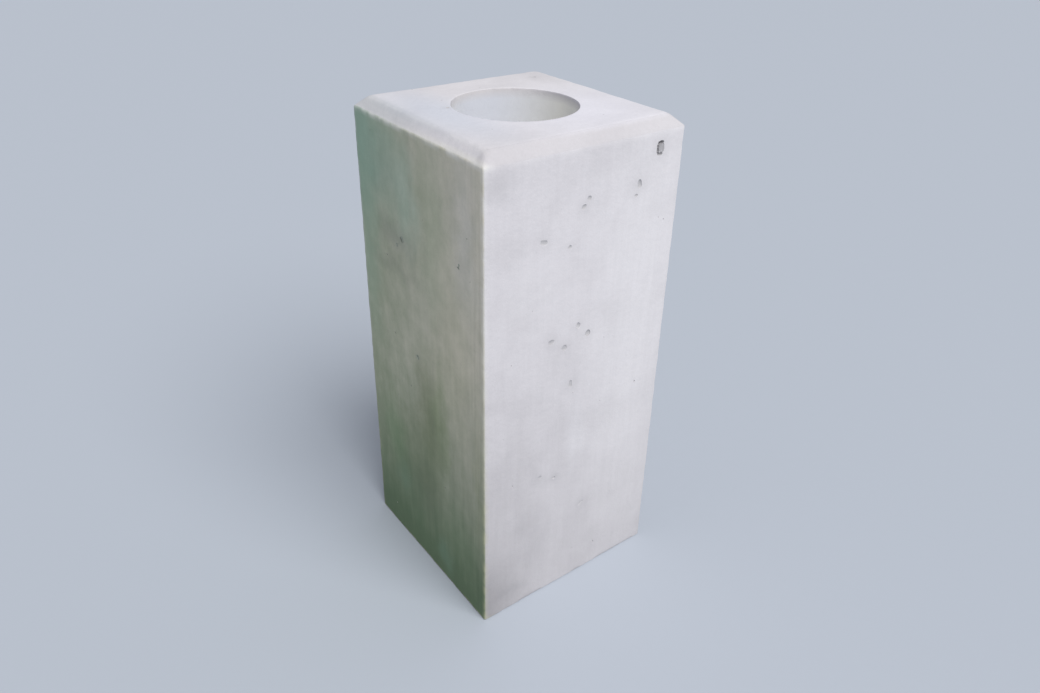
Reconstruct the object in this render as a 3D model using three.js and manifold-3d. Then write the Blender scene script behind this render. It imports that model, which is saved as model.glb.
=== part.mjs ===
// Precast concrete column base block: a square pier with a round socket in its top for the foot of a post.
// It was cast upside down in a steel mould, so it has a little draft, chamfered top edges, a sharp base and
// air holes where bubbles lay against the mould. Millimetres, +Z up, origin at the centre of the underside.
// The bright face of the photograph is the -Y side and the shaded one is the -X side.
import * as THREE from "three";
import { mergeVertices } from "three/addons/utils/BufferGeometryUtils.js";
import Module from "manifold-3d";

// The pier
const BASE_WIDTH = 200;
const TOP_WIDTH = 194;
const HEIGHT = 450;
const TOP_CHAMFER = 9.5;
const SHOULDER_ROUND = 1; // how far the chamfer's lower edge is rounded back
const RIM_ROUND = 2.4; // and its upper edge
const ARRIS_RADIUS = 2; // the four upright corners
const TOP_CORNER_RADIUS = 5; // what the corners grow to over the chamfer
const BASE_ARRIS = 1; // the edge that the open side of the mould leaves

// The socket
const MOUTH_DIAMETER = 104;
const FLOOR_DIAMETER = 92;
const SOCKET_DEPTH = 360;
const LIP_RADIUS = 1.5;
const FLOOR_FILLET = 3;

// How finely the round shapes are cut
const SOCKET_SIDES = 64;
const CURVE_STEPS = 4;
const AIR_HOLE_SIDES = 12;
const AIR_HOLE_BANDS = 8;
const CORNER_STEPS = 3;

// The height where the chamfer starts.
const SHOULDER = HEIGHT - TOP_CHAMFER;

// Half the pier's width at a height, before the chamfer takes any off.
const halfWidthAt = (z) => THREE.MathUtils.lerp(BASE_WIDTH, TOP_WIDTH, z / HEIGHT) / 2;

// Air holes on the faces: across and up are measured on the face from its centre line and the underside
// (on the top face, from the socket's axis), and width and tall are the opening's size.
const AIR_HOLES = {
  front: [
    { across: 69.5, up: 429, width: 7.5, tall: 12, depth: 4 },
    { across: 52, up: 401, width: 4.5, tall: 5, depth: 2.4 },
    { across: -3, up: 397, width: 5, tall: 4, depth: 1.8 },
    { across: -44, up: 374, width: 7, tall: 4, depth: 1.4 },
    { across: -32, up: 285, width: 5, tall: 3.6, depth: 1.6 },
    { across: -19, up: 274, width: 5, tall: 4.6, depth: 1.8 },
    { across: -5, up: 290, width: 4, tall: 5, depth: 1.8 },
    { across: 6, up: 280, width: 4.4, tall: 5, depth: 1.6 },
    { across: -9, up: 235, width: 4, tall: 6.6, depth: 2.2 },
    { across: 11, up: 91, width: 6, tall: 4.4, depth: 1.8 },
  ],
  left: [
    { across: -5, up: 238, width: 6.5, tall: 4, depth: 2 },
    { across: -42, up: 344, width: 5, tall: 4.4, depth: 1.6 },
    { across: 70, up: 352, width: 4.4, tall: 5.4, depth: 1.6 },
  ],
  top: [{ across: 68, up: 66, width: 5, tall: 4.4, depth: 1.6 }],
};

const wasm = await Module();
wasm.setup();

// A closed three.js geometry as a solid that can be cut.
function solid(geometry) {
  const bare = geometry.clone();
  bare.deleteAttribute("normal");
  bare.deleteAttribute("uv");
  const merged = mergeVertices(bare, 1e-4);
  return new wasm.Manifold(
    new wasm.Mesh({
      numProp: 3,
      vertProperties: merged.attributes.position.array,
      triVerts: new Uint32Array(merged.index.array),
    }),
  );
}

// A cut solid back as a three.js geometry, shaded flat.
function geometryOf(shape) {
  const mesh = shape.getMesh();
  const indexed = new THREE.BufferGeometry();
  indexed.setAttribute("position", new THREE.BufferAttribute(mesh.vertProperties, 3));
  indexed.setIndex(new THREE.BufferAttribute(mesh.triVerts, 1));
  const flat = indexed.toNonIndexed();
  flat.computeVertexNormals();
  return flat;
}

// One level section of the pier: a square with its four corners rounded.
function section(halfWidth, z) {
  const intoChamfer = THREE.MathUtils.clamp((z - SHOULDER) / TOP_CHAMFER, 0, 1);
  const radius = THREE.MathUtils.lerp(ARRIS_RADIUS, TOP_CORNER_RADIUS, intoChamfer);
  const flat = halfWidth - radius;
  const outline = new THREE.Shape();
  outline.absarc(flat, flat, radius, 0, Math.PI / 2);
  outline.absarc(-flat, flat, radius, Math.PI / 2, Math.PI);
  outline.absarc(-flat, -flat, radius, Math.PI, Math.PI * 1.5);
  outline.absarc(flat, -flat, radius, Math.PI * 1.5, Math.PI * 2);
  const points = outline.getPoints(CORNER_STEPS);
  if (points[0].distanceTo(points.at(-1)) < 1e-6) points.pop();
  return points.map((p) => new THREE.Vector3(p.x, p.y, z));
}

// A closed skin over sections that lie one above another, with the first and last filled in.
function skin(sections) {
  const count = sections[0].length;
  const index = [];
  for (let row = 0; row < sections.length - 1; row++) {
    for (let k = 0; k < count; k++) {
      const a = row * count + k;
      const b = row * count + ((k + 1) % count);
      index.push(a, b, b + count, a, b + count, a + count);
    }
  }
  const last = (sections.length - 1) * count;
  for (const [i, j, k] of THREE.ShapeUtils.triangulateShape(sections[0], [])) {
    index.push(i, k, j, last + i, last + j, last + k);
  }
  const geometry = new THREE.BufferGeometry().setFromPoints(sections.flat());
  geometry.setIndex(index);
  return geometry;
}

// The pier's upright profile, as half width against height: base edge, drafted side, softened chamfer, top.
function pierProfile() {
  const side = halfWidthAt(SHOULDER);
  const rim = halfWidthAt(HEIGHT) - TOP_CHAMFER;
  const shoulderSlope = SHOULDER_ROUND * Math.SQRT1_2;
  const rimSlope = RIM_ROUND * Math.SQRT1_2;
  const profile = new THREE.Path();
  profile.moveTo(BASE_WIDTH / 2 - BASE_ARRIS, 0);
  profile.lineTo(halfWidthAt(BASE_ARRIS), BASE_ARRIS);
  profile.lineTo(side, SHOULDER - SHOULDER_ROUND);
  profile.quadraticCurveTo(side, SHOULDER, side - shoulderSlope, SHOULDER + shoulderSlope);
  profile.lineTo(rim + rimSlope, HEIGHT - rimSlope);
  profile.quadraticCurveTo(rim, HEIGHT, rim - RIM_ROUND, HEIGHT);
  return profile.getPoints(CURVE_STEPS);
}

// The space of the socket, standing a little out of its mouth so that it cuts clean.
function socketSpace() {
  const floor = HEIGHT - SOCKET_DEPTH;
  const mouth = MOUTH_DIAMETER / 2;
  const foot = FLOOR_DIAMETER / 2;
  const profile = new THREE.Path();
  profile.moveTo(0, floor);
  profile.lineTo(foot - FLOOR_FILLET, floor);
  profile.quadraticCurveTo(foot, floor, foot, floor + FLOOR_FILLET);
  profile.lineTo(mouth, HEIGHT - LIP_RADIUS);
  profile.quadraticCurveTo(mouth, HEIGHT, mouth + LIP_RADIUS, HEIGHT);
  profile.lineTo(mouth + LIP_RADIUS, HEIGHT + LIP_RADIUS);
  profile.lineTo(0, HEIGHT + LIP_RADIUS);
  return new THREE.LatheGeometry(profile.getPoints(CURVE_STEPS), SOCKET_SIDES).rotateX(Math.PI / 2);
}

// The bubble that left an air hole: a squashed ball whose cut by the face is the opening.
function bubble({ width, tall, depth }) {
  const sunk = depth * 0.4; // the ball's centre lies this far outside the face
  const reach = depth + sunk;
  const spread = 1 / Math.sqrt(1 - (sunk / reach) ** 2);
  const ball = new THREE.SphereGeometry(1, AIR_HOLE_SIDES, AIR_HOLE_BANDS);
  ball.scale((width / 2) * spread, (tall / 2) * spread, reach);
  return ball.translate(0, 0, sunk);
}

// Where each face's air holes are: x across the face, y up it and z out of it.
const DRAFT = Math.atan((BASE_WIDTH - TOP_WIDTH) / 2 / HEIGHT);
const FACES = {
  front: ({ across, up }) => ({
    place: new THREE.Vector3(across, -halfWidthAt(up), up),
    turn: new THREE.Euler(Math.PI / 2 - DRAFT, 0, 0),
  }),
  left: ({ across, up }) => ({
    place: new THREE.Vector3(-halfWidthAt(up), -across, up),
    turn: new THREE.Euler(Math.PI / 2 - DRAFT, -Math.PI / 2, 0, "ZYX"),
  }),
  top: ({ across, up }) => ({
    place: new THREE.Vector3(across, up, HEIGHT),
    turn: new THREE.Euler(0, 0, 0),
  }),
};

function baseBlock() {
  let block = solid(skin(pierProfile().map((p) => section(p.x, p.y))));
  block = block.subtract(solid(socketSpace()));
  for (const [face, holes] of Object.entries(AIR_HOLES)) {
    for (const hole of holes) {
      const { place, turn } = FACES[face](hole);
      const cutter = bubble(hole).applyMatrix4(new THREE.Matrix4().makeRotationFromEuler(turn));
      block = block.subtract(solid(cutter.translate(place.x, place.y, place.z)));
    }
  }
  return geometryOf(block);
}

const concrete = new THREE.MeshStandardMaterial({ color: "#d3d2d6", roughness: 0.9, metalness: 0 });

const columnBase = new THREE.Group();
const block = new THREE.Mesh(baseBlock(), concrete);
block.name = "base_block";
columnBase.add(block);

export default columnBase;
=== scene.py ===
import math
import random

import bmesh
import bpy
from mathutils import Matrix, Vector, noise


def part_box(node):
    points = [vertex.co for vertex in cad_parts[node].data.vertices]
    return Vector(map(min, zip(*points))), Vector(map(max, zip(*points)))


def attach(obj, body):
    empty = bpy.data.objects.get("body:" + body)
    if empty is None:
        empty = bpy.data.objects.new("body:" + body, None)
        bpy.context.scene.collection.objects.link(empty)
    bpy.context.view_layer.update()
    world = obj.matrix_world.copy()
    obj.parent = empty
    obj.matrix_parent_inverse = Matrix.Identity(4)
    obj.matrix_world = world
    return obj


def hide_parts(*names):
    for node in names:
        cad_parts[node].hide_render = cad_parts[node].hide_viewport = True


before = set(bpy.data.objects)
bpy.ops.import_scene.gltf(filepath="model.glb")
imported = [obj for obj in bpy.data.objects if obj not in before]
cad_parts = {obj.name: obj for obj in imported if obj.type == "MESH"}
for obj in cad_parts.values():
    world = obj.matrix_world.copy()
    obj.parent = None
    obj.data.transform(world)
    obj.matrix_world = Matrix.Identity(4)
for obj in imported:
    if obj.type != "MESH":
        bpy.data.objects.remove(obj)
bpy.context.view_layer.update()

# The casting
# Plain concrete, poured upside down in a steel mould round a tapered former. The chamfered end came out of
# the mould's bottom, and the base is the open end, struck off with a board. It stands loose on its base.
mm = 0.001
far_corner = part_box("base_block")[1]
height = far_corner.z
foot_half = far_corner.x
draft = 0.97  # the top's share of the foot's width, which lets the mould go
top_half = foot_half * draft
arris = 2 * mm
foot_arris = 1 * mm
chamfer = 9.5 * mm
shoulder = height - chamfer  # where the chamfer starts
shoulder_round = 1.1 * mm  # how far the chamfer's lower edge is rounded back
rim_round = 2.6 * mm  # and its upper edge
top_corner = 5 * mm  # what the arrises' radius grows to over the chamfer
mouth_radius = 52 * mm
floor_radius = 46 * mm
socket_floor = 90 * mm
lip = 0.9 * mm
floor_fillet = 3 * mm

# The skin is a net of rings, each with the same count of places on it.
flat_steps = 64  # along one side of the square, about 3 mm each
arris_steps = 4
side_steps = flat_steps + arris_steps
hub = 4 * mm  # the smallest rings, in the middle of the underside and of the socket's floor
seen_down_to = height - 120 * mm  # the part of the socket that light reaches has closer rings
radius_there = mouth_radius - 2 * mm


def half_width_at(z):
    return foot_half + (top_half - foot_half) * z / height


def ring_point(station, half, z, roundness):
    """A place on a level ring round the axis: a rounded square at roundness 0, a circle at 1."""
    side, step = divmod(station, side_steps)
    into_chamfer = min(1, max(0, (z - shoulder) / chamfer))
    corner = min(arris + (top_corner - arris) * into_chamfer, half / 8)
    flat = half - corner
    if step <= flat_steps:
        square = Vector((half, flat * (2 * step / flat_steps - 1)))
    else:
        turn = math.radians(90) * (step - flat_steps) / arris_steps
        square = Vector((flat + corner * math.cos(turn), flat + corner * math.sin(turn)))
    at = square.lerp(square.normalized() * half, roundness)
    at.rotate(Matrix.Rotation(math.radians(90) * side, 2))
    return Vector((at.x, at.y, z))


# The skin's rings, each as (half width, height, roundness), from the middle of the underside, up the
# sides, over the top and down the socket to the middle of its floor.
rings = [Vector((hub, 0, 0))]


def straight_to(half, z, roundness, steps):
    start = rings[-1]
    for step in range(1, steps + 1):
        rings.append(start.lerp(Vector((half, z, roundness)), step / steps))


def round_over(corner, end, steps):
    start, corner, end = rings[-1], Vector(corner), Vector(end)
    for step in range(1, steps + 1):
        t = step / steps
        rings.append(start.lerp(corner, t).lerp(corner.lerp(end, t), t))


side_at_shoulder = half_width_at(shoulder)
rim = top_half - chamfer
shoulder_slope = shoulder_round * math.sqrt(0.5)
rim_slope = rim_round * math.sqrt(0.5)
straight_to(foot_half - foot_arris, 0, 0, 14)
straight_to(half_width_at(foot_arris), foot_arris, 0, 1)
straight_to(side_at_shoulder, shoulder - shoulder_round, 0, 146)
round_over(
    (side_at_shoulder, shoulder, 0), (side_at_shoulder - shoulder_slope, shoulder + shoulder_slope, 0), 3
)
straight_to(rim + rim_slope, height - rim_slope, 0, 4)
round_over((rim, height, 0), (rim - rim_round, height, 0), 4)
straight_to(mouth_radius + lip, height, 1, 12)
round_over((mouth_radius, height, 1), (mouth_radius, height - lip, 1), 4)
straight_to(radius_there, seen_down_to, 1, 40)
straight_to(floor_radius, socket_floor + floor_fillet, 1, 30)
round_over((floor_radius, socket_floor, 1), (floor_radius - floor_fillet, socket_floor, 1), 3)
straight_to(hub, socket_floor, 1, 7)

skin = bmesh.new()
station = skin.verts.layers.int.new("station")
first = bmesh.ops.create_circle(skin, cap_ends=True, segments=4 * side_steps, radius=hub)["verts"]
for count, vert in enumerate(first):
    vert[station] = count
    vert.co = ring_point(count, *rings[0])
edge_ring = list(skin.edges)
for ring in rings[1:]:
    grown = bmesh.ops.extrude_edge_only(skin, edges=edge_ring)["geom"]
    for vert in (part for part in grown if isinstance(part, bmesh.types.BMVert)):
        vert.co = ring_point(vert[station], *ring)
    edge_ring = [part for part in grown if isinstance(part, bmesh.types.BMEdge) and part.is_boundary]
bmesh.ops.contextual_create(skin, geom=edge_ring)
bmesh.ops.recalc_face_normals(skin, faces=skin.faces)

# The skin isn't true: it swells and dips a little between the mould's stiffeners, the arrises have lost
# grains in handling, the former left rings in the socket and the board left ridges on the underside.
wear_layer = skin.verts.layers.float.new("wear")
slope_layer = skin.verts.layers.float.new("slope")
swell = 0.4 * mm
swell_size = 70 * mm
ripple = 0.12 * mm
ripple_size = 9 * mm
arris_loss = 0.6 * mm
arris_reach = 4 * mm
chip_size = 12 * mm
grain_size = 4 * mm
lip_chip_size = 6 * mm
former_mark = 0.25 * mm
former_ring = 4 * mm
former_round = 200 * mm
board_mark = 0.7 * mm
ridge_length = 60 * mm
ridge_width = 7 * mm


def distance_to_edge(place):
    """How far a place on the outer skin is from the nearest arris or chamfer edge."""
    across = sorted((abs(place.x), abs(place.y)))
    from_arris = half_width_at(place.z) - across[0]
    from_shoulder = abs(place.z - shoulder)
    if place.z > shoulder + mm:
        from_rim = (Vector((across[1], place.z)) - Vector((rim, height))).length
        return min(from_arris, from_rim)
    return min(from_arris, from_shoulder, place.z)


skin.normal_update()
for vert in skin.verts:
    place = vert.co.copy()
    from_axis = math.hypot(place.x, place.y)
    in_socket = from_axis < mouth_radius + 0.1 * mm and place.z > socket_floor - mm
    loss = swell * (0.5 + 0.5 * noise.noise(place / swell_size))
    loss += ripple * (0.5 + 0.5 * noise.noise(place / ripple_size))
    if in_socket:
        on_wall = Vector((place.x / former_round, place.y / former_round, place.z / former_ring))
        loss += former_mark * max(0, noise.noise(on_wall))
        near_mouth = max(0, 1 - (height - place.z) / arris_reach)
        loss += 0.5 * arris_loss * near_mouth * max(0, noise.noise(place / lip_chip_size))
    elif place.z < 0.1 * mm:
        on_board = Vector((place.x / ridge_length, place.y / ridge_width, 3))
        loss += board_mark * max(0, 0.3 + noise.noise(on_board))
    else:
        nearness = max(0, 1 - distance_to_edge(place) / arris_reach)
        bite = 0.25 + noise.noise(place / chip_size) + 0.5 * noise.noise(place / grain_size)
        loss += arris_loss * nearness**2 * max(0, bite)
        vert[wear_layer] = nearness * min(1, max(0, 0.45 + bite))
        vert[slope_layer] = vert.normal.z  # 0 on a face, 0.7 on the chamfer, 1 on the top
    vert.co -= vert.normal * loss

block_mesh = bpy.data.meshes.new("cast_block")
skin.to_mesh(block_mesh)
skin.free()
block = bpy.data.objects.new("cast_block", block_mesh)
bpy.context.collection.objects.link(block)

# The air holes
# Bubbles lay against the mould while the concrete set. Each left a shallow round pit, now lined with dirt.
# The listed ones are where the block has them, and the rest are scattered as they usually lie.
faces = {
    # the way across the face, the way up it and the way out of it
    "front": (Vector((1, 0, 0)), Vector((0, 0, 1)), Vector((0, -1, 0))),
    "left": (Vector((0, -1, 0)), Vector((0, 0, 1)), Vector((-1, 0, 0))),
    "back": (Vector((-1, 0, 0)), Vector((0, 0, 1)), Vector((0, 1, 0))),
    "right": (Vector((0, 1, 0)), Vector((0, 0, 1)), Vector((1, 0, 0))),
    "top": (Vector((1, 0, 0)), Vector((0, 1, 0)), Vector((0, 0, 1))),
}
bubbles = bmesh.new()
taken = []
noise.seed_set(11)  # noise_vector, which makes them uneven, starts from the clock without this


def place_on(face, across, up):
    """A place on a face: across and up are in millimetres from its middle and foot, or the top's middle."""
    along, rise, out = faces[face]
    level = height if face == "top" else half_width_at(up * mm)
    return along * across * mm + rise * up * mm + out * level


def add_bubble(face, across, up, width, tall, depth, tilt=0, fineness=2):
    """Sinks a squashed bubble, sized in millimetres, into a face. Its middle stands outside the worn skin."""
    along, rise, out = faces[face]
    at = place_on(face, across, up)
    at += out * (0.35 * depth - 0.3) * mm
    taken.append((at, max(width, tall) * mm))
    turn = Matrix((along, rise, out)).transposed() @ Matrix.Rotation(math.radians(tilt), 3, "Z")
    size = Matrix.Diagonal((0.54 * width * mm, 0.54 * tall * mm, 1.35 * depth * mm))
    ball = bmesh.ops.create_icosphere(
        bubbles, subdivisions=fineness, radius=1, matrix=Matrix.Translation(at) @ (turn @ size).to_4x4()
    )
    for vert in ball["verts"]:
        vert.co += noise.noise_vector(vert.co / (3 * mm)) * 0.12 * min(width, tall) * mm


# The one big hole, by the right-hand top corner of the bright face, is a string of bubbles that curls round
# the left of a bit of aggregate: across, up, width, tall and depth. The last is the dip over the aggregate.
for curl in (
    (71.6, 430.9, 5.2, 3.6, 4.6),
    (69.2, 430.4, 3.0, 3.2, 3.0),
    (68.3, 428.2, 2.8, 5.0, 2.6),
    (68.3, 424.8, 2.8, 5.0, 2.4),
    (69.2, 422.3, 2.8, 2.4, 1.8),
    (71.6, 421.9, 4.2, 2.2, 1.8),
    (72.2, 426.6, 6.4, 7.6, 0.35),
):
    add_bubble("front", *curl)

seen_holes = {
    # across, up, width, tall, depth, tilt
    "front": [
        (52, 401, 3.6, 5.6, 2.6, 10),
        (49, 392, 2.6, 2.2, 1.4, 0),
        (0, 400, 3.4, 3.0, 1.8, 0),
        (-5, 394, 4.2, 3.0, 1.8, 30),
        (-43, 374, 6.0, 3.2, 1.1, -15),
        (-17, 364, 3.0, 2.4, 1.4, 0),
        (-32, 284, 5.0, 3.4, 1.8, 20),
        (-18, 274, 4.6, 4.0, 2.0, 0),
        (-4, 291, 3.6, 4.6, 2.0, 0),
        (7, 280, 4.0, 4.8, 1.8, 0),
        (-9, 235, 3.2, 6.4, 2.6, 5),
        (-39, 146, 3.2, 2.6, 1.4, 0),
        (-23, 138, 3.0, 2.4, 1.4, 0),
        (12, 90, 5.4, 2.8, 1.4, 25),
    ],
    "left": [
        (-6, 240, 4.4, 4.0, 3.4, 0),
        (-24, 346, 5.0, 4.2, 0.8, 20),
        (-33, 338, 3.0, 2.6, 0.7, 0),
        (64, 356, 4.6, 4.6, 0.7, 0),
    ],
    "top": [(69, 67, 4.4, 3.6, 1.6, 0), (-53, 18, 3.0, 2.2, 0.9, 60)],
}
widened = 1.25  # weather has widened the holes,
filled = 0.32  # and dirt has filled them by two thirds
for face, holes in seen_holes.items():
    for across, up, width, tall, depth, tilt in holes:
        add_bubble(face, across, up, widened * width, widened * tall, filled * depth, tilt)

larger_holes = list(taken)
chance = random.Random(11)
holes_per_face = {"front": 16, "left": 14, "back": 30, "right": 30, "top": 5}
clear_of_axis = 56  # on the top, which keeps them off the socket's lip
for face, amount in holes_per_face.items():
    while amount:
        across = chance.uniform(-84, 84)
        up = chance.uniform(-84, 84) if face == "top" else chance.uniform(10, 432)
        size = min(3.4, 0.9 + chance.expovariate(2.2))
        if face == "top" and math.hypot(across, up) < clear_of_axis:
            continue
        at = place_on(face, across, up)
        if any((at - other).length < reach + 2 * size * mm for other, reach in taken):
            continue
        add_bubble(face, across, up, size, size * chance.uniform(0.7, 1.2), 0.4 * size, fineness=1)
        amount -= 1

bubble_mesh = bpy.data.meshes.new("bubbles")
bmesh.ops.recalc_face_normals(bubbles, faces=bubbles.faces)
bubbles.to_mesh(bubble_mesh)
bubbles.free()
bubble_cutter = bpy.data.objects.new("bubbles", bubble_mesh)
bpy.context.collection.objects.link(bubble_cutter)

# The concrete itself
# Pale grey Portland cement paste with fine sand, struck from steel, so it is matt and nearly smooth. Years
# outdoors have left a greyer foot, runs down the faces and a film of green algae on the side that gets no
# sun, whose green is partly painted reflected light.


def linear(hex_code):
    """An sRGB colour such as #c3cbba as the linear colour that a shader takes."""
    channels = [int(hex_code[i : i + 2], 16) / 255 for i in (1, 3, 5)]
    return [c / 12.92 if c <= 0.04045 else ((c + 0.055) / 1.055) ** 2.4 for c in channels] + [1]


def put(tree, kind, inputs, out=0, **settings):
    """Adds a node and gives one of its outputs. Each input takes a value or another node's output."""
    made = tree.nodes.new(kind)
    for name, value in settings.items():
        setattr(made, name, value)
    for name, value in inputs.items():
        if isinstance(value, bpy.types.NodeSocket):
            tree.links.new(value, made.inputs[name])
        else:
            made.inputs[name].default_value = value
    return made.outputs[out]


def new_material(name):
    made = bpy.data.materials.new(name)
    made.use_nodes = True
    made.node_tree.nodes.clear()
    return made


def finish_material(material, colour, roughness, normal=None):
    tree = material.node_tree
    surface = {"Base Color": colour, "Roughness": roughness, "IOR": 1.5}
    if normal:
        surface["Normal"] = normal
    shader = put(tree, "ShaderNodeBsdfPrincipled", surface)
    output = tree.nodes.new("ShaderNodeOutputMaterial")
    tree.links.new(shader, output.inputs["Surface"])


def cloud(tree, where, size, detail=3.0, roughness=0.5, stretch=(1, 1, 1)):
    """Soft blotches of about the given size in metres, as a number round 0.5."""
    scaled = put(tree, "ShaderNodeMapping", {"Vector": where, "Scale": [1 / (size * s) for s in stretch]})
    return put(
        tree, "ShaderNodeTexNoise", {"Vector": scaled, "Scale": 1, "Detail": detail, "Roughness": roughness}
    )


def stained(tree, colour, tint, strength, where, centre, reach, edge=0.5):
    """Lays a soft-edged stain over a colour. Centre and reach are in mm, and edge is the soft share."""
    offset = put(
        tree, "ShaderNodeVectorMath", {0: where, 1: [c * mm for c in centre]}, operation="SUBTRACT"
    )
    spread = put(tree, "ShaderNodeVectorMath", {0: offset, 1: [r * mm for r in reach]}, operation="DIVIDE")
    distance = put(tree, "ShaderNodeVectorMath", {0: spread}, out="Value", operation="LENGTH")
    cover = put(
        tree,
        "ShaderNodeMapRange",
        {"Value": distance, 1: 1 - edge, 2: 1 + edge, 3: strength, 4: 0},
        interpolation_type="SMOOTHSTEP",
    )
    return put(tree, "ShaderNodeMix", {0: cover, 6: colour, 7: linear(tint)}, out=2, data_type="RGBA")


def weathered_concrete():
    material = new_material("precast_concrete")
    tree = material.node_tree
    place = put(tree, "ShaderNodeTexCoord", {}, out="Object")
    x, y, z = (put(tree, "ShaderNodeSeparateXYZ", {"Vector": place}, out=axis) for axis in "XYZ")

    # Cement paste: a little cloudy where it dried unevenly, with sand showing as fine dark and light grains.
    clouds = cloud(tree, place, 45 * mm, detail=4)
    clouded = put(
        tree, "ShaderNodeMapRange", {"Value": clouds, 1: 0.4, 2: 0.68}, interpolation_type="SMOOTHSTEP"
    )
    paste = put(
        tree,
        "ShaderNodeMix",
        {0: clouded, 6: linear("#dbd7d9"), 7: linear("#d4d0d2")},
        out=2,
        data_type="RGBA",
    )
    sand = cloud(tree, place, 1.3 * mm, detail=2, roughness=0.7)

    # Nothing that weather leaves has a clean outline, so every stain below reads a place that wanders.
    stray = put(
        tree,
        "ShaderNodeTexNoise",
        {"Vector": place, "Scale": 1 / (38 * mm), "Detail": 4, "Roughness": 0.6},
        out="Color",
    )
    stray = put(tree, "ShaderNodeVectorMath", {0: stray, 1: [0.5] * 3}, operation="SUBTRACT")
    wander = put(
        tree, "ShaderNodeVectorMath", {0: stray, 1: [45 * mm] * 3, 2: place}, operation="MULTIPLY_ADD"
    )
    runs = cloud(tree, place, 9 * mm, detail=3, stretch=(1, 1, 9))
    fine_runs = cloud(tree, place, 4 * mm, detail=2, stretch=(1, 1, 14))
    low_z = put(tree, "ShaderNodeSeparateXYZ", {"Vector": wander}, out="Z")
    run_height = put(tree, "ShaderNodeMath", {0: runs, 1: 70 * mm, 2: -35 * mm}, operation="MULTIPLY_ADD")
    foot_line = put(tree, "ShaderNodeMath", {0: low_z, 1: run_height}, operation="ADD")

    # The foot of the open sides is greyed, darker towards the bottom and most by the arris next to the shaded
    # one.
    # The stains after that are grey smudges low on the bright face and paler ground in the middle of it.
    foot_grey = put(tree, "ShaderNodeMapRange", {"Value": foot_line, 1: 330 * mm, 2: -10 * mm, 3: 0, 4: 0.4})
    colour = put(tree, "ShaderNodeMix", {0: foot_grey, 6: paste, 7: linear("#959293")}, out=2, data_type="RGBA")
    by_arris = put(tree, "ShaderNodeMapRange", {"Value": x, 1: -25 * mm, 2: -100 * mm, 3: 0, 4: 1})
    low_down = put(
        tree, "ShaderNodeMapRange", {"Value": foot_line, 1: 250 * mm, 2: 30 * mm, 3: 0.03, 4: 0.36}
    )
    corner_grey = put(tree, "ShaderNodeMath", {0: by_arris, 1: low_down}, operation="MULTIPLY")
    colour = put(
        tree, "ShaderNodeMix", {0: corner_grey, 6: colour, 7: linear("#848182")}, out=2, data_type="RGBA"
    )
    for tint, strength, centre, reach in (
        ("#848182", 0.4, (-100, -99, 12), (30, 14, 42)),
        ("#8d8c8f", 0.1, (-84, -99, 424), (16, 12, 14)),
        ("#e6e3e4", 0.25, (-55, -99, 328), (20, 14, 24)),
        ("#e9e6e7", 0.4, (64, -99, 275), (46, 16, 210)),
        ("#8d8c8f", 0.13, (-39, -99, 148), (8, 12, 12)),
        ("#8d8c8f", 0.13, (-22, -99, 138), (8, 12, 10)),
        ("#8d8c8f", 0.12, (-58, -99, 102), (16, 12, 12)),
        ("#8d8c8f", 0.12, (-40, -99, 70), (12, 12, 30)),
        ("#8d8c8f", 0.18, (-72, -99, 20), (14, 12, 9)),
    ):
        colour = stained(tree, colour, tint, strength, wander, centre, reach, 0.8)

    # Painted shade: the slope of the chamfer at the front, which faces the key light, is painted darker.
    slope = put(tree, "ShaderNodeAttribute", {}, out="Fac", attribute_name="slope")
    off_face = put(tree, "ShaderNodeMapRange", {"Value": slope, 1: 0.05, 2: 0.5})
    off_top = put(tree, "ShaderNodeMapRange", {"Value": slope, 1: 1.0, 2: 0.95})
    at_front = put(tree, "ShaderNodeMapRange", {"Value": y, 1: -82 * mm, 2: -86 * mm, 3: 0, 4: 0.42})
    painted_chamfer_shade = put(tree, "ShaderNodeMath", {0: off_face, 1: off_top}, operation="MULTIPLY")
    painted_chamfer_shade = put(tree, "ShaderNodeMath", {0: painted_chamfer_shade, 1: at_front}, operation="MULTIPLY")
    colour = put(tree, "ShaderNodeMix", {0: painted_chamfer_shade, 6: colour, 7: linear("#b2aeb0")}, out=2, data_type="RGBA")

    # Dust lies at the back of the left chamfer, and painted shade runs along its upper edge. The chamfer's
    # lower edge is rubbed pale by the front, partly wear and partly a painted highlight, and rain has washed
    # the top next to the bright side.
    for tint, strength, centre, reach in (
        ("#a9a6a8", 0.09, (-10, -99, 428), (130, 5, 14)),
        ("#a8a9ab", 0.3, (-88, 40, 449), (3.5, 70, 4)),
        ("#bdc0c1", 0.55, (-93, 66, 446), (9, 60, 9)),
        ("#f3f2fd", 0.46, (30, -46, 452), (80, 64, 3.4)),
        ("#efeadd", 0.45, (-96.5, -62, 441.5), (3.5, 60, 3)),
        ("#c2cbd9", 0.45, (-66, 10, 452), (26, 70, 6)),
        ("#c2bfc1", 0.35, (80, 84, 452), (30, 20, 6)),
        ("#ececee", 0.14, (0, -99, 175), (9, 10, 30)),
    ):
        colour = stained(tree, colour, tint, strength, place, centre, reach, 0.8)
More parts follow.
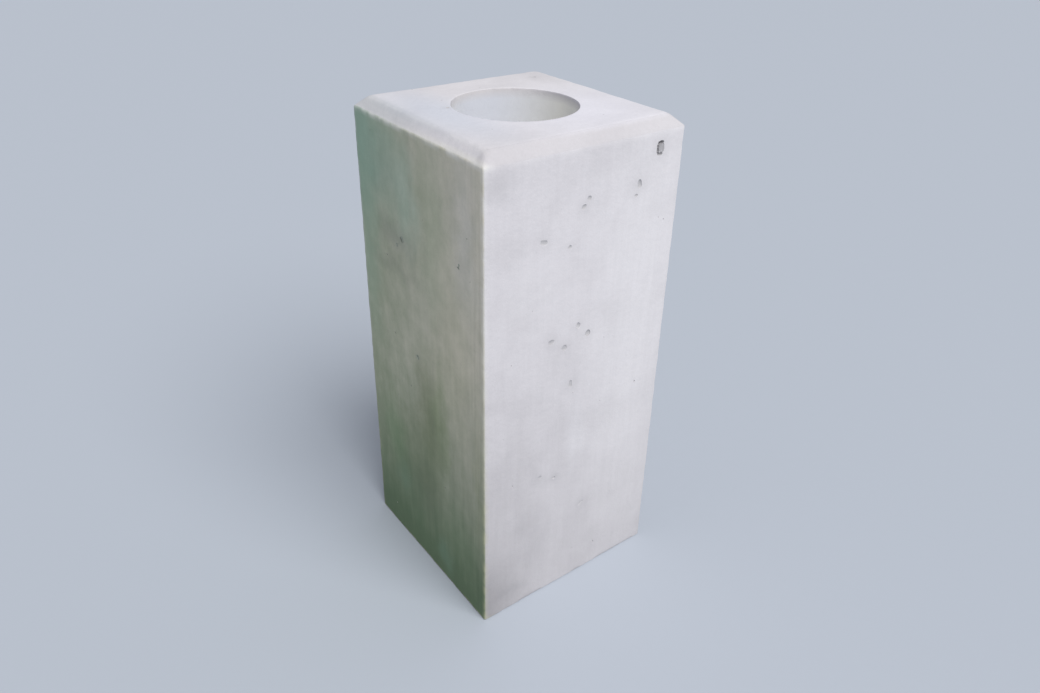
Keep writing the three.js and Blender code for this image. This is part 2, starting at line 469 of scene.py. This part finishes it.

    # Green algae live on the side that gets no sun, -X, and on the back of it, +Y; the film's green is partly
    # painted green reflected light. side_on is 1 on the -X face and fades over the worn arris. The film is
    # thin and brownish towards the sunny arris at the front.
    half = put(tree, "ShaderNodeMapRange", {"Value": z, 1: 0, 2: height, 3: -foot_half, 4: -top_half})
    side_share = put(tree, "ShaderNodeMath", {0: x, 1: half}, operation="DIVIDE")
    side_on = put(
        tree, "ShaderNodeMapRange", {"Value": side_share, 1: 0.984, 2: 0.994}, interpolation_type="SMOOTHSTEP"
    )
    mottle = cloud(tree, place, 17 * mm, detail=6, roughness=0.62, stretch=(1, 1, 1.2))
    patchy = put(tree, "ShaderNodeMapRange", {"Value": mottle, 1: 0.3, 2: 0.7, 3: -0.2, 4: 0.2})
    far_y = put(tree, "ShaderNodeSeparateXYZ", {"Vector": wander}, out="Y")
    thick = put(tree, "ShaderNodeMapRange", {"Value": far_y, 1: -100 * mm, 2: 90 * mm})
    film = put(tree, "ShaderNodeMath", {0: thick, 1: patchy}, operation="ADD")
    shady = put(
        tree, "ShaderNodeMix", {0: film, 6: linear("#cfc9b9"), 7: linear("#a4aa92")}, out=2, data_type="RGBA"
    )

    # Patches in it, each with its centre and reach across the face (y) and up it (z): bluish green high at
    # the back, grey where the film has come off, olive low in the middle.
    for tint, strength, centre, reach in (
        ("#8fb0a0", 0.65, (88, 420), (34, 60)),
        ("#98b7a2", 0.35, (90, 330), (20, 80)),
        ("#a3c2b2", 0.3, (14, 385), (14, 34)),
        ("#858883", 0.12, (46, 395), (18, 18)),
        ("#93b6a5", 0.3, (36, 405), (22, 40)),
        ("#9dad8c", 0.3, (-23, 368), (20, 55)),
        ("#dedce0", 0.2, (-74, 378), (14, 56)),
        ("#b9b58e", 0.25, (-92, 150), (6, 60)),
        ("#c6c292", 0.14, (-57, 260), (30, 75)),
        ("#858883", 0.3, (34, 345), (22, 12)),
        ("#7f8378", 0.25, (40, 318), (30, 8)),
        ("#6b764c", 0.55, (-10, 172), (20, 60)),
        ("#8b9f6c", 0.35, (-30, 190), (10, 44)),
        ("#6b764c", 0.3, (24, 110), (40, 50)),
        ("#b9b89f", 0.16, (-10, 255), (22, 28)),
    ):
        shady = stained(tree, shady, tint, strength, wander, (-99, *centre), (30, *reach), 0.9)

    # It is thickest and darkest at the foot, with damp patches of its own.
    foot_start = put(
        tree, "ShaderNodeMapRange", {"Value": far_y, 1: -100 * mm, 2: 90 * mm, 3: 290 * mm, 4: 200 * mm}
    )
    foot = put(tree, "ShaderNodeMapRange", {"Value": foot_line, 1: foot_start, 2: 26 * mm, 3: 0, 4: 1})
    shady = put(tree, "ShaderNodeMix", {0: foot, 6: shady, 7: linear("#637759")}, out=2, data_type="RGBA")
    for tint, strength, centre, reach in (
        ("#7d9a84", 0.35, (-32, 27), (12, 20)),
        ("#7d9a84", 0.3, (47, 74), (14, 14)),
        ("#4c5a42", 0.18, (-76, 16), (30, 30)),
        ("#56624b", 0.3, (0, 88), (20, 26)),
        ("#5c7a5a", 0.2, (34, 80), (26, 40)),
        ("#5f7f57", 0.2, (-56, 72), (26, 30)),
        ("#86987a", 0.2, (60, 150), (16, 34)),
        ("#6f9468", 0.25, (56, 122), (18, 30)),
    ):
        shady = stained(tree, shady, tint, strength, wander, (-99, *centre), (30, *reach), 0.9)

    # The film is mottled and runs down in faint streaks. Near the front arris it is rubbed in upright lines.
    film_tone = put(tree, "ShaderNodeMapRange", {"Value": mottle, 1: 0.3, 2: 0.7, 3: 1.03, 4: 0.97})
    streaks = put(tree, "ShaderNodeMapRange", {"Value": runs, 1: 0.3, 2: 0.7, 3: 0.975, 4: 1.025})
    film_tone = put(tree, "ShaderNodeMath", {0: film_tone, 1: streaks}, operation="MULTIPLY")
    rubbed = cloud(tree, place, 2.4 * mm, detail=1, stretch=(1, 1, 60))
    rubbed = put(tree, "ShaderNodeMapRange", {"Value": rubbed, 1: 0.35, 2: 0.65, 3: -0.05, 4: 0.05})
    near_front = put(tree, "ShaderNodeMapRange", {"Value": y, 1: -70 * mm, 2: -88 * mm})
    film_tone = put(
        tree, "ShaderNodeMath", {0: rubbed, 1: near_front, 2: film_tone}, operation="MULTIPLY_ADD"
    )
    shady = put(
        tree,
        "ShaderNodeMix",
        {0: 1.0, 6: shady, 7: film_tone},
        out=2,
        data_type="RGBA",
        blend_type="MULTIPLY",
    )
    colour = put(tree, "ShaderNodeMix", {0: side_on, 6: colour, 7: shady}, out=2, data_type="RGBA")

    # The back has the same film, with the same painted green reflected light, thinner away from the shaded
    # side.
    back_share = put(tree, "ShaderNodeMath", {0: y, 1: half}, operation="DIVIDE")
    back_on = put(
        tree,
        "ShaderNodeMapRange",
        {"Value": back_share, 1: -0.981, 2: -0.991},
        interpolation_type="SMOOTHSTEP",
    )
    back_film = put(tree, "ShaderNodeMapRange", {"Value": x, 1: 100 * mm, 2: -100 * mm, 3: 0.2, 4: 0.85})
    back_cover = put(tree, "ShaderNodeMath", {0: back_on, 1: back_film}, operation="MULTIPLY")
    colour = put(tree, "ShaderNodeMix", {0: back_cover, 6: colour, 7: shady}, out=2, data_type="RGBA")

    # Rain washes dust down the faces in narrow runs, and grit shows through everything.
    run_tone = put(tree, "ShaderNodeMapRange", {"Value": fine_runs, 1: 0.3, 2: 0.7, 3: 0.985, 4: 1.015})
    grit_tone = put(tree, "ShaderNodeMapRange", {"Value": sand, 1: 0.3, 2: 0.7, 3: 0.975, 4: 1.02})
    tone = put(tree, "ShaderNodeMath", {0: run_tone, 1: grit_tone}, operation="MULTIPLY")
    colour = put(
        tree, "ShaderNodeMix", {0: 1.0, 6: colour, 7: tone}, out=2, data_type="RGBA", blend_type="MULTIPLY"
    )

    # Dirt has settled in a halo round each larger air hole.
    halo = put(tree, "ShaderNodeAttribute", {}, out="Fac", attribute_name="halo")
    halo = put(tree, "ShaderNodeMath", {0: halo, 1: 0.12}, operation="MULTIPLY")
    colour = put(tree, "ShaderNodeMix", {0: halo, 6: colour, 7: linear("#8f8d8e")}, out=2, data_type="RGBA")

    # Where the arrises have lost grains, fresh pale stone shows, with a film on it again low down. It is laid
    # mostly on the arrises by the shaded side, where the pale line is also a painted highlight.
    worn = put(tree, "ShaderNodeAttribute", {}, out="Fac", attribute_name="wear")
    wear_and_highlight_by_side = put(tree, "ShaderNodeMapRange", {"Value": x, 1: -86 * mm, 2: -94 * mm, 3: 0.05, 4: 0.7})
    worn = put(tree, "ShaderNodeMath", {0: worn, 1: wear_and_highlight_by_side}, operation="MULTIPLY")
    up_high = put(tree, "ShaderNodeMapRange", {"Value": low_z, 1: 110 * mm, 2: 330 * mm})
    fresh_stone_and_highlight = put(
        tree,
        "ShaderNodeMix",
        {0: up_high, 6: linear("#b9b896"), 7: linear("#e4e2df")},
        out=2,
        data_type="RGBA",
    )
    colour = put(tree, "ShaderNodeMix", {0: worn, 6: colour, 7: fresh_stone_and_highlight}, out=2, data_type="RGBA")

    # Sun and rain hardly reach inside the socket: its wall is still clean. Painted light: the wall is painted
    # palest towards the front, whose inner face is in shade, and greyer towards the back, where the key light
    # falls. Dust lies on the floor.
    from_axis = put(tree, "ShaderNodeMath", {0: x, 1: 2}, operation="POWER")
    from_axis = put(tree, "ShaderNodeMath", {0: y, 1: y, 2: from_axis}, operation="MULTIPLY_ADD")
    from_axis = put(tree, "ShaderNodeMath", {0: from_axis}, operation="SQRT")
    within = put(tree, "ShaderNodeMath", {0: from_axis, 1: mouth_radius + lip}, operation="LESS_THAN")
    above = put(tree, "ShaderNodeMath", {0: z, 1: socket_floor / 2}, operation="GREATER_THAN")
    below_lip = put(
        tree, "ShaderNodeMapRange", {"Value": z, 1: height - 2 * mm, 2: height - 9 * mm, 3: 0, 4: 1}
    )
    in_socket = put(tree, "ShaderNodeMath", {0: within, 1: above}, operation="MULTIPLY")
    in_socket = put(tree, "ShaderNodeMath", {0: in_socket, 1: below_lip}, operation="MULTIPLY")
    painted_light_to_front = put(tree, "ShaderNodeMapRange", {"Value": y, 1: 0.97 * mouth_radius, 2: 0.12 * mouth_radius})
    clean_wall_and_painted_light = put(
        tree,
        "ShaderNodeMix",
        {0: painted_light_to_front, 6: linear("#d8dae2"), 7: linear("#faf8f1")},
        out=2,
        data_type="RGBA",
    )
    dust_top = socket_floor + 30 * mm
    dust = put(tree, "ShaderNodeMapRange", {"Value": z, 1: dust_top, 2: socket_floor, 3: 0, 4: 0.7})
    wall = put(tree, "ShaderNodeMix", {0: dust, 6: clean_wall_and_painted_light, 7: linear("#a9a296")}, out=2, data_type="RGBA")
    colour = put(tree, "ShaderNodeMix", {0: in_socket, 6: colour, 7: wall}, out=2, data_type="RGBA")

    # To the touch it is like fine sandpaper, smoother in the socket. The damp foot has a little more sheen.
    dimples = cloud(tree, place, 6 * mm, detail=2)
    relief = put(tree, "ShaderNodeMath", {0: sand, 1: 0.5, 2: dimples}, operation="MULTIPLY_ADD")
    depth = put(tree, "ShaderNodeMapRange", {"Value": in_socket, 3: 0.3 * mm, 4: 0.12 * mm})
    bumps = put(tree, "ShaderNodeBump", {"Height": relief, "Distance": depth, "Strength": 1.0})
    rough = put(tree, "ShaderNodeMapRange", {"Value": foot_line, 1: 0, 2: 150 * mm, 3: 0.78, 4: 0.92})
    finish_material(material, colour, rough, bumps)
    return material


def hole_lining():
    # Fine grey dirt, greenish on the shaded side, where the green is partly painted reflected light as on the
    # film, and darkest in the one big hole.
    material = new_material("air_hole_lining")
    tree = material.node_tree
    place = put(tree, "ShaderNodeTexCoord", {}, out="Object")
    dirt = cloud(tree, place, 4 * mm)
    colour = put(
        tree, "ShaderNodeMix", {0: dirt, 6: linear("#cdcacb"), 7: linear("#b0aeaf")}, out=2, data_type="RGBA"
    )
    x = put(tree, "ShaderNodeSeparateXYZ", {"Vector": place}, out="X")
    shaded = put(tree, "ShaderNodeMapRange", {"Value": x, 1: -0.93 * top_half, 2: -0.97 * top_half})
    colour = put(tree, "ShaderNodeMix", {0: shaded, 6: colour, 7: linear("#9aa092")}, out=2, data_type="RGBA")
    colour = stained(tree, colour, "#8d8b8d", 0.5, place, (70, -98, 427), (8, 8, 9), 0.3)
    finish_material(material, colour, 0.95)
    return material


block_mesh.materials.append(weathered_concrete())
block_mesh.materials.append(hole_lining())
for material in block_mesh.materials:
    bubble_mesh.materials.append(material)
for polygon in bubble_mesh.polygons:
    polygon.material_index = 1

# The bubbles are taken out of the skin, and what is left is the finished casting.
cut = block.modifiers.new("air_holes", "BOOLEAN")
cut.operation = "DIFFERENCE"
cut.solver = "EXACT"
cut.use_self = True
cut.object = bubble_cutter
cut_mesh = bpy.data.meshes.new_from_object(block.evaluated_get(bpy.context.evaluated_depsgraph_get()))
block.modifiers.clear()
block.data = cut_mesh
bpy.data.objects.remove(bubble_cutter)

halo_reach = 1.7  # how far a halo goes from a hole's middle, in hole sizes
halos = cut_mesh.attributes.new("halo", "FLOAT", "POINT")
for vert in cut_mesh.vertices:
    nearest = max(1 - (vert.co - at).length / (halo_reach * reach) for at, reach in larger_holes)
    halos.data[vert.index].value = max(0, nearest)
cut_mesh.shade_smooth()
cut_mesh.set_sharp_from_angle(angle=math.radians(38))

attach(block, "root")
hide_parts("base_block")

# The studio
# A wide pale blue-grey floor and one very large soft light, high and straight in front of the bright face,
# with a weak even light from all round.
floor_mesh = bpy.data.meshes.new("studio_floor")
floor_shape = bmesh.new()
bmesh.ops.create_circle(floor_shape, cap_ends=True, segments=64, radius=14)
floor_shape.to_mesh(floor_mesh)
floor_shape.free()
floor = bpy.data.objects.new("studio_floor", floor_mesh)
bpy.context.collection.objects.link(floor)
paint = new_material("studio_floor")
finish_material(paint, linear("#b7bdc6"), 0.85)
floor_mesh.materials.append(paint)

key = bpy.data.lights.new("key", "SUN")
key.energy = 2.7
key.angle = math.radians(46)
key_object = bpy.data.objects.new("key", key)
key_from = Vector((0.0, -0.62, 0.78))
key_object.rotation_euler = key_from.to_track_quat("Z", "Y").to_euler()
key_object.location = key_from * 3
bpy.context.collection.objects.link(key_object)

world = bpy.data.worlds.new("studio")
world.use_nodes = True
world.node_tree.nodes["Background"].inputs["Color"].default_value = linear("#e6ebf5")
world.node_tree.nodes["Background"].inputs["Strength"].default_value = 0.44
bpy.context.scene.world = world
bpy.context.scene.view_settings.view_transform = "Standard"

# The camera stands at the corner between the bright and the shaded face, a little above the top.
camera = bpy.data.cameras.new("camera")
camera.sensor_width = 36
camera.lens = 27.71
camera_object = bpy.data.objects.new("camera", camera)
camera_place = Vector((-0.3878, -0.5275, 0.6163))
camera_aim = Vector((0.0065, -0.0049, 0.2206))
camera_roll = math.radians(1.26)
look = (camera_place - camera_aim).to_track_quat("Z", "Y").to_matrix()
look = look @ Matrix.Rotation(camera_roll, 3, "Z")
camera_object.matrix_world = Matrix.Translation(camera_place) @ look.to_4x4()
bpy.context.collection.objects.link(camera_object)
bpy.context.scene.camera = camera_object
